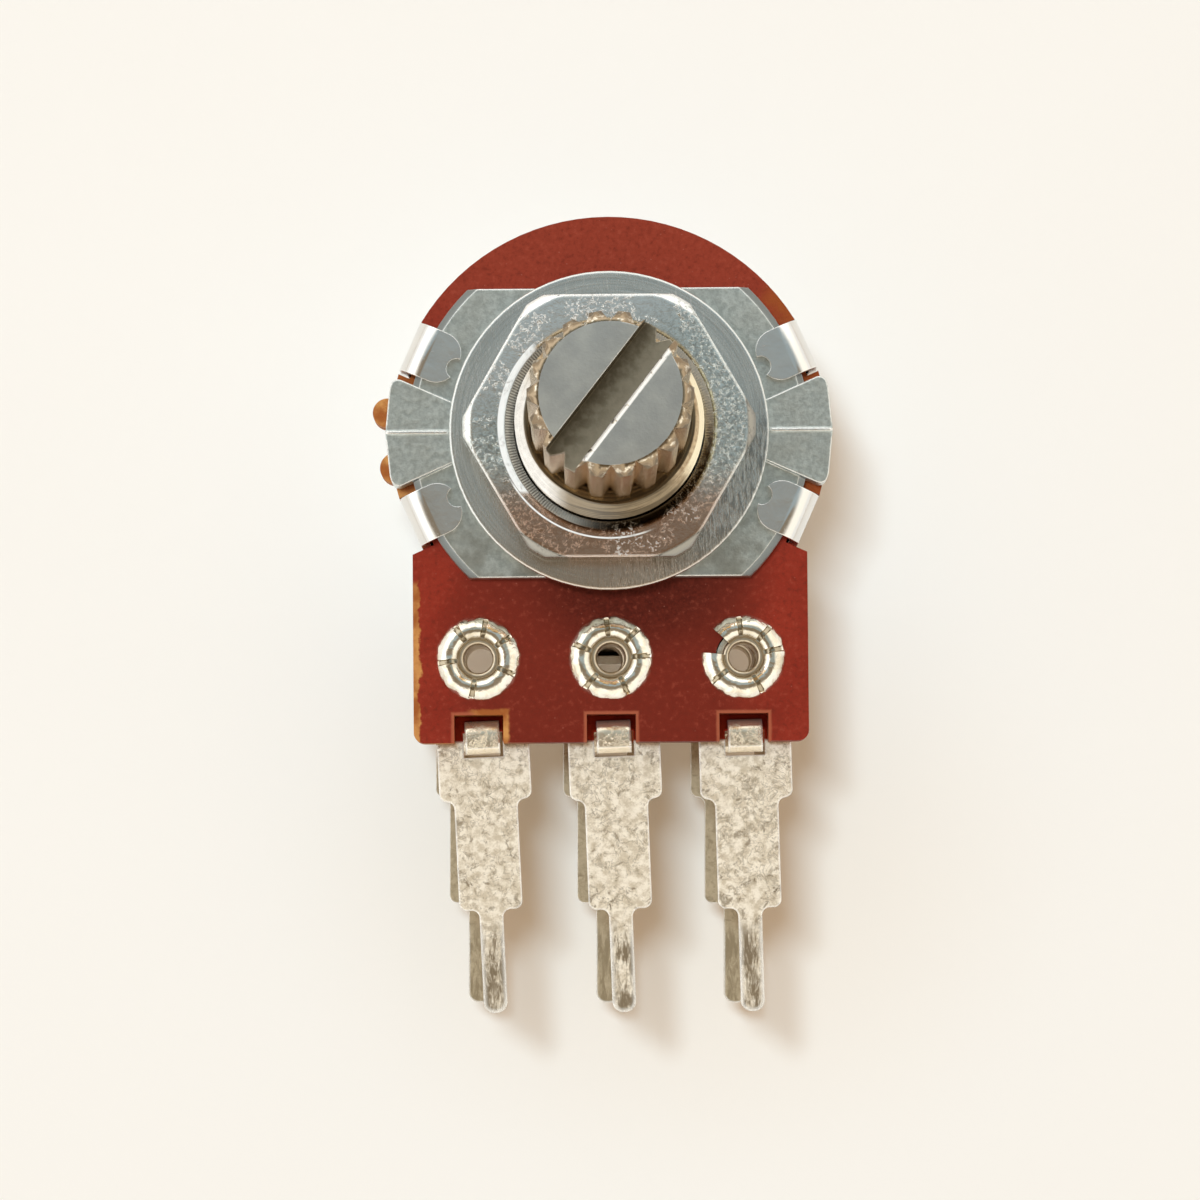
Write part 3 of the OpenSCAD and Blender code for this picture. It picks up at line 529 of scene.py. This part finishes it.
def mottled_tin(name, pale, warm, dark, rim, notch):
    """Hot-tinned pins: flecks in clusters, blots, and streaks down the legs, with painted highlights on the
    edges.

    rim is the radius of the edges' painted highlights and of their bump's rounding. notch is 1 where the
    foot of a lug is seen in its board's notch, and is painted dark red there as shade, and 0 where it isn't.
    """
    f = Finish(name, metallic=0.55, roughness=0.42)
    p = f.place()
    y, z = f.split(p)[1:]
    patch = f.grain(p, 0.8, 3)
    swirl = f.grain(p, 1.9, 5, 0.62, 0.7)
    flecks = (swirl - 0.5).size().ramp(0.035, 0.008) * patch.ramp(0.42, 0.52)
    blots = f.grain(p, 2.2, 6, 0.75, 0.5).ramp(0.53, 0.64)
    streaks = f.grain(f.stretch(p, (4.5, 1.0, 1)), 1.0, 5, 0.7, 0.6).ramp(0.40, 0.58)
    leg = (LEG_TOP - y).ramp(0.2, 1.2)
    step = (y - PIN_STEP).size().ramp(1.0, 0.4) * patch.ramp(0.4, 0.55)
    marks = (flecks * 0.5).larger(blots * (0.75 + step * 0.25)).larger(streaks * leg)
    tin = f.blend(f.grain(p, 3.2, 6, 0.75).ramp(0.38, 0.62), pale, warm)
    lug = (z - LUG_FOOT[name]).ramp(0, 0.12)
    # Painted shade: dark red where the lug's foot is seen deep in the board's notch
    under = (z - LUG_FOOT[name]).ramp(0, -0.1) * (y + APRON_REACH).ramp(0.0, 0.15) * notch
    tin = f.blend(marks, tin, dark)
    tin = f.blend(lug * 0.9, tin, (0.93, 0.83, 0.66))
    tin = f.blend(under, tin, (0.33, 0.03, 0.015))
    # Painted highlights: white edges, wider down the legs
    edge = f.rim(rim).larger(f.rim(2.4 * rim) * leg) * (1 - under)
    tin = f.blend(edge, tin, WARM_HIGHLIGHT_WHITE)
    f.paint(tin)
    f.vary(Roughness=(0.36 + marks * 0.2 + patch * 0.08) * (1 - edge.larger(lug) * 0.5),
           Metallic=(0.18 + lug * 0.7 + under * 0.82).larger(edge * 0.6))
    f.emboss(swirl - marks * 0.5, 0.02, rim)
    return f.material


def rolled_tin():
    """The eyelets: bright rolled tin with small dents, dull in the bore and the punch marks."""
    f = Finish("rolled_tin", metallic=1.0, roughness=0.13)
    p = f.place()
    dents = f.grain(p, 2.0, 3, 0.5, 0.4)
    struck, bore = f.recorded("struck"), f.recorded("bore")
    tin = f.blend(dents.ramp(0.35, 0.75), (0.97, 0.93, 0.84), (0.72, 0.65, 0.52))
    tin = f.blend(bore * 0.85, tin, (0.62, 0.53, 0.40))
    tin = f.blend(struck.ramp(0.2, 0.75), tin, (0.44, 0.38, 0.28))
    f.paint(tin)
    f.vary(Roughness=0.07 + dents * 0.1 + bore * 0.2)
    f.emboss(dents, 0.035)
    return f.material


def bright_tinplate():
    """The cans: smooth bright tinplate, faintly rippled, with painted highlights on its edges."""
    f = Finish("bright_tinplate", metallic=1.0, roughness=0.2)
    p = f.place()
    ripple = f.grain(p, 1.4, 3, 0.5, 0.3)
    spots = f.grain(p, 8, 4).ramp(0.6, 0.8)
    tin = f.blend(ripple.ramp(0.2, 0.8), (0.80, 0.805, 0.80), (0.86, 0.855, 0.835))
    # Painted highlight: white edges
    f.paint(f.blend(f.rim(0.07), tin, HIGHLIGHT_WHITE))
    f.vary(Roughness=0.16 + spots * 0.16)
    f.emboss(ripple + spots * 0.1, 0.005, 0.05)
    return f.material


def grained(name, waves, detail, first, second, bump=0, **constants):
    """A finish whose colour wavers between two, for the pieces inside."""
    f = Finish(name, **constants)
    p = f.place()
    f.paint(f.blend(f.grain(p, waves, detail), first, second))
    if bump:
        f.emboss(f.grain(p, 12, 2), bump)
    return f.material


def spring_steel():
    return grained("spring_steel", 6, 4, (0.20, 0.20, 0.21), (0.36, 0.35, 0.34),
                   metallic=1.0, roughness=0.35)


def spring_bronze():
    return grained("spring_bronze", 5, 3, (0.70, 0.45, 0.20), (0.83, 0.60, 0.32),
                   metallic=1.0, roughness=0.3)


def ivory_resin():
    return grained("ivory_resin", 3, 3, (0.74, 0.68, 0.54), (0.82, 0.77, 0.64), bump=0.004, roughness=0.4)


def printed_carbon():
    return grained("printed_carbon", 10, 3, (0.015, 0.015, 0.016), (0.05, 0.05, 0.05), roughness=0.65)


def printed_silver():
    return grained("printed_silver", 10, 3, (0.52, 0.51, 0.48), (0.68, 0.67, 0.64),
                   metallic=0.8, roughness=0.5)


# Shape helpers -------------------------------------------------------------------------------------------

def merged_copy(node):
    """A CAD node's mesh with its doubles merged and its flat faces joined again."""
    bm = bmesh.new()
    bm.from_mesh(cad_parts[node].data)
    bmesh.ops.remove_doubles(bm, verts=bm.verts, dist=0.002 * MM)
    bmesh.ops.dissolve_limit(bm, angle_limit=math.radians(0.8), verts=bm.verts, edges=bm.edges)
    return bm


def bevel(bm, edges, width, clamp):
    bmesh.ops.bevel(bm, geom=edges, offset=width * MM, offset_type="OFFSET", segments=2, profile=0.5,
                    affect="EDGES", material=-1, clamp_overlap=clamp)


def soften(bm, width, least=28):
    """Rounds every edge that turns by more than the least angle, as far as its neighbours leave room."""
    edges = [e for e in bm.edges if len(e.link_faces) == 2
             and e.calc_face_angle(0) > math.radians(least)]
    bevel(bm, edges, width, True)


def piece(name, bm, finish, body, slot, *nodes, smooth=35):
    """Turns a bmesh into a finished object that rides on a body and stands for CAD nodes."""
    mesh = bpy.data.meshes.new(name)
    bmesh.ops.recalc_face_normals(bm, faces=bm.faces)
    bm.to_mesh(mesh)
    bm.free()
    mesh.shade_smooth()
    mesh.set_sharp_from_angle(angle=math.radians(smooth))
    mesh.materials.append(finish)
    made = bpy.data.objects.new(name, mesh)
    bpy.context.scene.collection.objects.link(made)
    flatten = made.modifiers.new("flatten", "WEIGHTED_NORMAL")
    flatten.weight = 60
    flatten.keep_sharp = True
    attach(made, body)
    if nodes:
        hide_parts(*nodes)
    return made


def reach(v):
    """A vertex's distance from the shaft's axis, in millimetres."""
    return math.hypot(v.co.x, v.co.y) / MM


def listed(parts):
    """Each part once, in the order met, so that every run works through them alike."""
    return list(dict.fromkeys(parts))


# Pieces --------------------------------------------------------------------------------------------------

def plate_without_bushing(finish):
    """The front plate, cut off level where its bushing starts, with the hole's two rims joined."""
    bm = merged_copy("front_plate")
    neck = [f for f in bm.faces if all(reach(v) < THREAD_R + 0.05 for v in f.verts)]
    geom = neck + listed(e for f in neck for e in f.edges) + listed(v for f in neck for v in f.verts)
    bmesh.ops.bisect_plane(bm, geom=geom, dist=0.001 * MM, plane_co=(0, 0, 0), plane_no=(0, 0, 1),
                           clear_outer=True)
    rims = [e for e in bm.edges if e.is_boundary]
    bmesh.ops.bridge_loops(bm, edges=rims)
    soften(bm, 0.07)
    return piece("front_plate_cast", bm, finish, "root", "cast_zinc", "front_plate")


def threaded_bushing(finish):
    """A helix of V grooves, turned up by one spin, then faced off and given its lip and bore."""
    bm = bmesh.new()
    turns = math.ceil(BUSHING_TOP / THREAD_PITCH) + 2
    line = []
    for i in range(2 * turns + 1):
        radius = THREAD_R - (THREAD_DEPTH if i % 2 else 0)
        line.append(bm.verts.new((radius * MM, 0, (i / 2 - 1.5) * THREAD_PITCH * MM)))
    edges = [bm.edges.new(pair) for pair in zip(line, line[1:])]
    bmesh.ops.spin(bm, geom=line + edges, cent=(0, 0, 0), axis=(0, 0, 1), angle=math.tau,
                   steps=THREAD_STEPS, dvec=(0, 0, THREAD_PITCH / THREAD_STEPS * MM), use_merge=False)
    bmesh.ops.remove_doubles(bm, verts=bm.verts, dist=0.005 * MM)
    for height, side in ((BUSHING_TOP, 1), (0.01, -1)):
        bmesh.ops.bisect_plane(bm, geom=bm.verts[:] + bm.edges[:] + bm.faces[:], dist=0.0005 * MM,
                               plane_co=(0, 0, height * MM), plane_no=(0, 0, side), clear_outer=True)
    for v in bm.verts:
        limit = THREAD_R - BUSHING_LIP + (BUSHING_TOP - v.co.z / MM)
        if reach(v) > limit:
            v.co.xy *= limit / reach(v)
    rim = [e for e in bm.edges if e.is_boundary and min(v.co.z for v in e.verts) > (BUSHING_TOP - 0.1) * MM]
    for radius, drop in ((BORE_R + BORE_CHAMFER, 0), (BORE_R, BORE_CHAMFER), (BORE_R, BUSHING_TOP - 0.01)):
        made = bmesh.ops.extrude_edge_only(bm, edges=rim)["geom"]
        rim = [g for g in made if isinstance(g, bmesh.types.BMEdge)]
        for v in listed(v for e in rim for v in e.verts):
            v.co.xy *= radius / reach(v)
            v.co.z = (BUSHING_TOP - drop) * MM
    bottom = [e for e in bm.edges if e.is_boundary]
    bmesh.ops.bridge_loops(bm, edges=bottom)
    return piece("bushing_thread", bm, finish, "root", "cast_zinc")


def slotted_shaft(finish):
    """The knurled shaft, with the lip on the slot's lower right side bevelled."""
    bm = merged_copy("shaft")
    turn = math.radians(SLOT_ANGLE)
    across = Vector((math.sin(turn), -math.cos(turn), 0))

    def on_lip(e):
        middle = (e.verts[0].co + e.verts[1].co) / 2 / MM
        return abs(middle.dot(across) - SLOT_HALF_W) < 0.05 and middle.z > SHAFT_TOP - 0.1

    bevel(bm, [e for e in bm.edges if on_lip(e)], SLOT_LIP, False)
    return piece("shaft_knurled", bm, finish, "shaft_body", "shaft_alloy", "shaft")


def turned(bm, outline, start, sweep):
    """Spins a closed outline about Z, and caps its ends where it stops short of a full turn."""
    whole = sweep == 360
    c, s = math.cos(math.radians(start)), math.sin(math.radians(start))
    verts = [bm.verts.new((r * c * MM, r * s * MM, z * MM)) for r, z in outline]
    edges = [bm.edges.new(pair) for pair in zip(verts, verts[1:] + verts[:1])]
    made = bmesh.ops.spin(bm, geom=verts + edges, cent=(0, 0, 0), axis=(0, 0, 1), use_merge=whole,
                          angle=math.radians(sweep), steps=round(ROLL_STEPS * sweep / 360))
    if not whole:
        last = [g for g in made["geom_last"] if isinstance(g, bmesh.types.BMEdge)]
        for loop in (edges, last):
            bmesh.ops.contextual_create(bm, geom=loop)


def punched(bm, angles):
    """Sinks a star punch's marks into the roll, dents it a little and frays its rim.

    Each point's struck and bore numbers tell the finish where the marks and the bore are.
    """
    struck, bore = (bm.verts.layers.float.new(name) for name in ("struck", "bore"))
    for v in bm.verts:
        radius, height = reach(v), v.co.z / MM
        v[bore] = 1.0 if radius < BORE_WALL_R else 0.0
        if radius < ROLL_FROM_R or height < -0.02:
            continue
        turn = math.degrees(math.atan2(v.co.y, v.co.x))
        off = min(abs((turn - a + 180) % 360 - 180) for a in angles)
        spot = v.co / MM
        under_punch = math.radians(off) * radius < PUNCH_HALF_W and PUNCH_FROM_R < radius < PUNCH_TO_R
        if under_punch and height > 0.2:
            v.co.z -= PUNCH_DEPTH * MM
            v[struck] = 1.0
        else:
            v.co.z -= max(0.0, noise.noise(spot * 1.7)) * DENT_DEPTH * height * MM
        if radius > FRAY_FROM_R:
            v.co.xy *= 1 + FRAY_SHARE * noise.noise(spot * 3.1) - 0.01


def eyelet(finish, row, side, place):
    """A hollow rivet in the board, rolled outward; the right front one has split open."""
    bm = bmesh.new()
    turned(bm, BARREL, 0, 360)
    if (row, side) == ("front", "right"):
        turned(bm, ROLL, SPLIT_FROM, 360 - SPLIT_SWEEP)
    else:
        turned(bm, ROLL, 0, 360)
    punched(bm, PUNCHED[side])
    face = FRONT_FACE if row == "front" else REAR_FACE
    bmesh.ops.translate(bm, verts=bm.verts, vec=(place * PIN_PITCH * MM, -EYELET_REACH * MM, face * MM))
    if row == "rear":
        bmesh.ops.rotate(bm, verts=bm.verts, cent=(0, 0, 0),
                         matrix=Matrix.Rotation(math.radians(REAR_TURN), 3, "Z"))
        bmesh.ops.translate(bm, verts=bm.verts, vec=(0, REAR_SLIP * MM, 0))
    node = f"{row}_eyelet_{side}"
    return piece(f"{node}_rolled", bm, finish, "root", "tinned_eyelet", node, smooth=50)


def softened(node, name, finish, body, slot, width, least=28):
    """A CAD node's copy with its edges rounded, as a piece that stands for the node."""
    bm = merged_copy(node)
    soften(bm, width, least)
    return piece(name, bm, finish, body, slot, node)


# Floor, light and camera ---------------------------------------------------------------------------------

def pale_floor():
    """A flat pale floor just under the part, with painted warm shade round the pins."""
    bm = bmesh.new()
    bmesh.ops.create_grid(bm, x_segments=1, y_segments=1, size=1.5)
    bmesh.ops.translate(bm, verts=bm.verts, vec=(0, 0, (FLOOR_Z - 0.01) * MM))
    mesh = bpy.data.meshes.new("floor")
    bm.to_mesh(mesh)
    bm.free()
    f = Finish("pale_floor", roughness=0.9, Specular_IOR_Level=0.1)
    p = f.place()
    x, y = f.split(p)[:2]
    paper = f.blend(f.grain(p, 0.05, 2), (0.92, 0.90, 0.86), (0.94, 0.925, 0.89))
    # Painted warm shade on the floor round the pins
    warm = distance((x - 3) / 1.2, y + 16).ramp(15, 3)
    f.paint(f.blend(warm * 0.6, paper, (0.90, 0.83, 0.735)))
    mesh.materials.append(f.material)
    floor = bpy.data.objects.new("floor", mesh)
    bpy.context.scene.collection.objects.link(floor)


def soft_sky():
    """The light all round, which differs for what asks.

    Reflections see a bright ring and a dimmer zone overhead, brownish towards the pins. Matt surfaces are
    lit by a warm cast, and the camera sees white.
    """
    world = bpy.data.worlds.new("soft_sky")
    bpy.context.scene.world = world
    world.use_nodes = True
    sky = Nodes(world.node_tree)
    x, y, z = sky.split(sky.node("ShaderNodeTexCoord", output="Generated"))
    slant = distance(x, y) / z.larger(0.02)
    overhead = 1 - slant.ramp(0.42, 0.95)
    shade = sky.blend((y * 9 + x * 2).ramp(0.2, 1.1), (0.26, 0.21, 0.15), (0.36, 0.42, 0.43))
    low_wall = slant.ramp(1.5, 5.0)
    ring = sky.blend((x * -0.6 + y * 0.5).ramp(-0.6, 0.7), (1.25, 1.17, 1.02), (1.70, 1.67, 1.60))
    seen = sky.blend(overhead, sky.blend(low_wall, ring, (1.02, 0.99, 0.93)), shade)
    cast = sky.blend(overhead, (0.52, 0.395, 0.28), (0.78, 0.59, 0.42))
    glossy = sky.node("ShaderNodeLightPath", output="Is Glossy Ray")
    direct = sky.node("ShaderNodeLightPath", output="Is Camera Ray")
    colour = sky.blend(direct, sky.blend(glossy, cast, seen), (1.0, 1.0, 1.0))
    background = sky.node("ShaderNodeBackground", None, {"Color": colour})
    output = sky.tree.nodes.new("ShaderNodeOutputWorld")
    sky.feed(output.inputs["Surface"], background)


def soft_lamp():
    """One lamp above the upper left, turned to the part, which reflections don't see."""
    data = bpy.data.lights.new("overhead", "AREA")
    data.shape = "RECTANGLE"
    data.size = LAMP_WIDTH
    data.size_y = LAMP_LENGTH
    data.energy = LAMP_POWER
    data.color = LAMP_COLOUR
    lamp = bpy.data.objects.new("overhead", data)
    lamp.location = LAMP_PLACE
    lamp.visible_glossy = False
    lamp.rotation_euler = (-Vector(LAMP_PLACE)).to_track_quat("-Z", "Y").to_euler()
    bpy.context.scene.collection.objects.link(lamp)


def camera_above():
    data = bpy.data.cameras.new("camera")
    data.lens = CAMERA_LENS
    data.sensor_width = 36
    data.clip_start = 0.01
    data.clip_end = 10
    camera = bpy.data.objects.new("camera", data)
    camera.location = CAMERA_PLACE
    camera.rotation_euler = [math.radians(a) for a in CAMERA_TURN]
    bpy.context.scene.collection.objects.link(camera)
    bpy.context.scene.camera = camera


# Assembly ------------------------------------------------------------------------------------------------

def dress(finish, *nodes):
    """Gives the finish to CAD nodes that are shown as they are."""
    for node in nodes:
        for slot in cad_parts[node].material_slots:
            slot.material = finish


def build():
    zinc, steel, nut_finish = cast_zinc(), turned_steel(), plated_nut()
    alloy, eyelet_tin, tinplate = shaft_alloy(), rolled_tin(), bright_tinplate()
    tin = {
        "front": mottled_tin("mottled_tin", (0.99, 0.90, 0.75), (0.66, 0.565, 0.425), (0.21, 0.16, 0.10),
                             rim=0.14, notch=1),
        # The rear pins get a darker copy of the pins' finish: painted shade, as they lie behind and under
        # the front pins
        "rear": mottled_tin("shaded_tin", (0.50, 0.41, 0.275), (0.42, 0.34, 0.225), (0.28, 0.22, 0.135),
                            rim=0.06, notch=0),
    }
    board = red_phenolic()
    dress(board, "front_board", "rear_board")
    dress(spring_steel(), "retaining_ring")
    dress(ivory_resin(), "front_rotor", "rear_rotor")
    dress(spring_bronze(), "front_wiper", "rear_wiper")
    dress(printed_carbon(), "front_track", "rear_track")
    dress(printed_silver(), "front_collector", "rear_collector")
    dress(tinplate, "middle_can")
    plate_without_bushing(zinc)
    threaded_bushing(nickel_with_painted_light())
    softened("washer", "washer_turned", steel, "washer_body", "plated_steel", 0.09)
    softened("nut", "nut_plated", nut_finish, "nut_body", "plated_steel", 0.15)
    slotted_shaft(alloy)
    softened("rear_cover", "cover_tinplate", tinplate, "root", "tinned_can", 0.08, 40)
    for row in ("front", "rear"):
        for place, side in enumerate(("left", "middle", "right"), -1):
            softened(f"{row}_pin_{side}", f"{row}_pin_{side}_tinned", tin[row], "root", "tinned_pin", 0.05)
            eyelet(eyelet_tin, row, side, place)


build()
pale_floor()
soft_sky()
soft_lamp()
camera_above()
bpy.context.scene.view_settings.view_transform = "Standard"
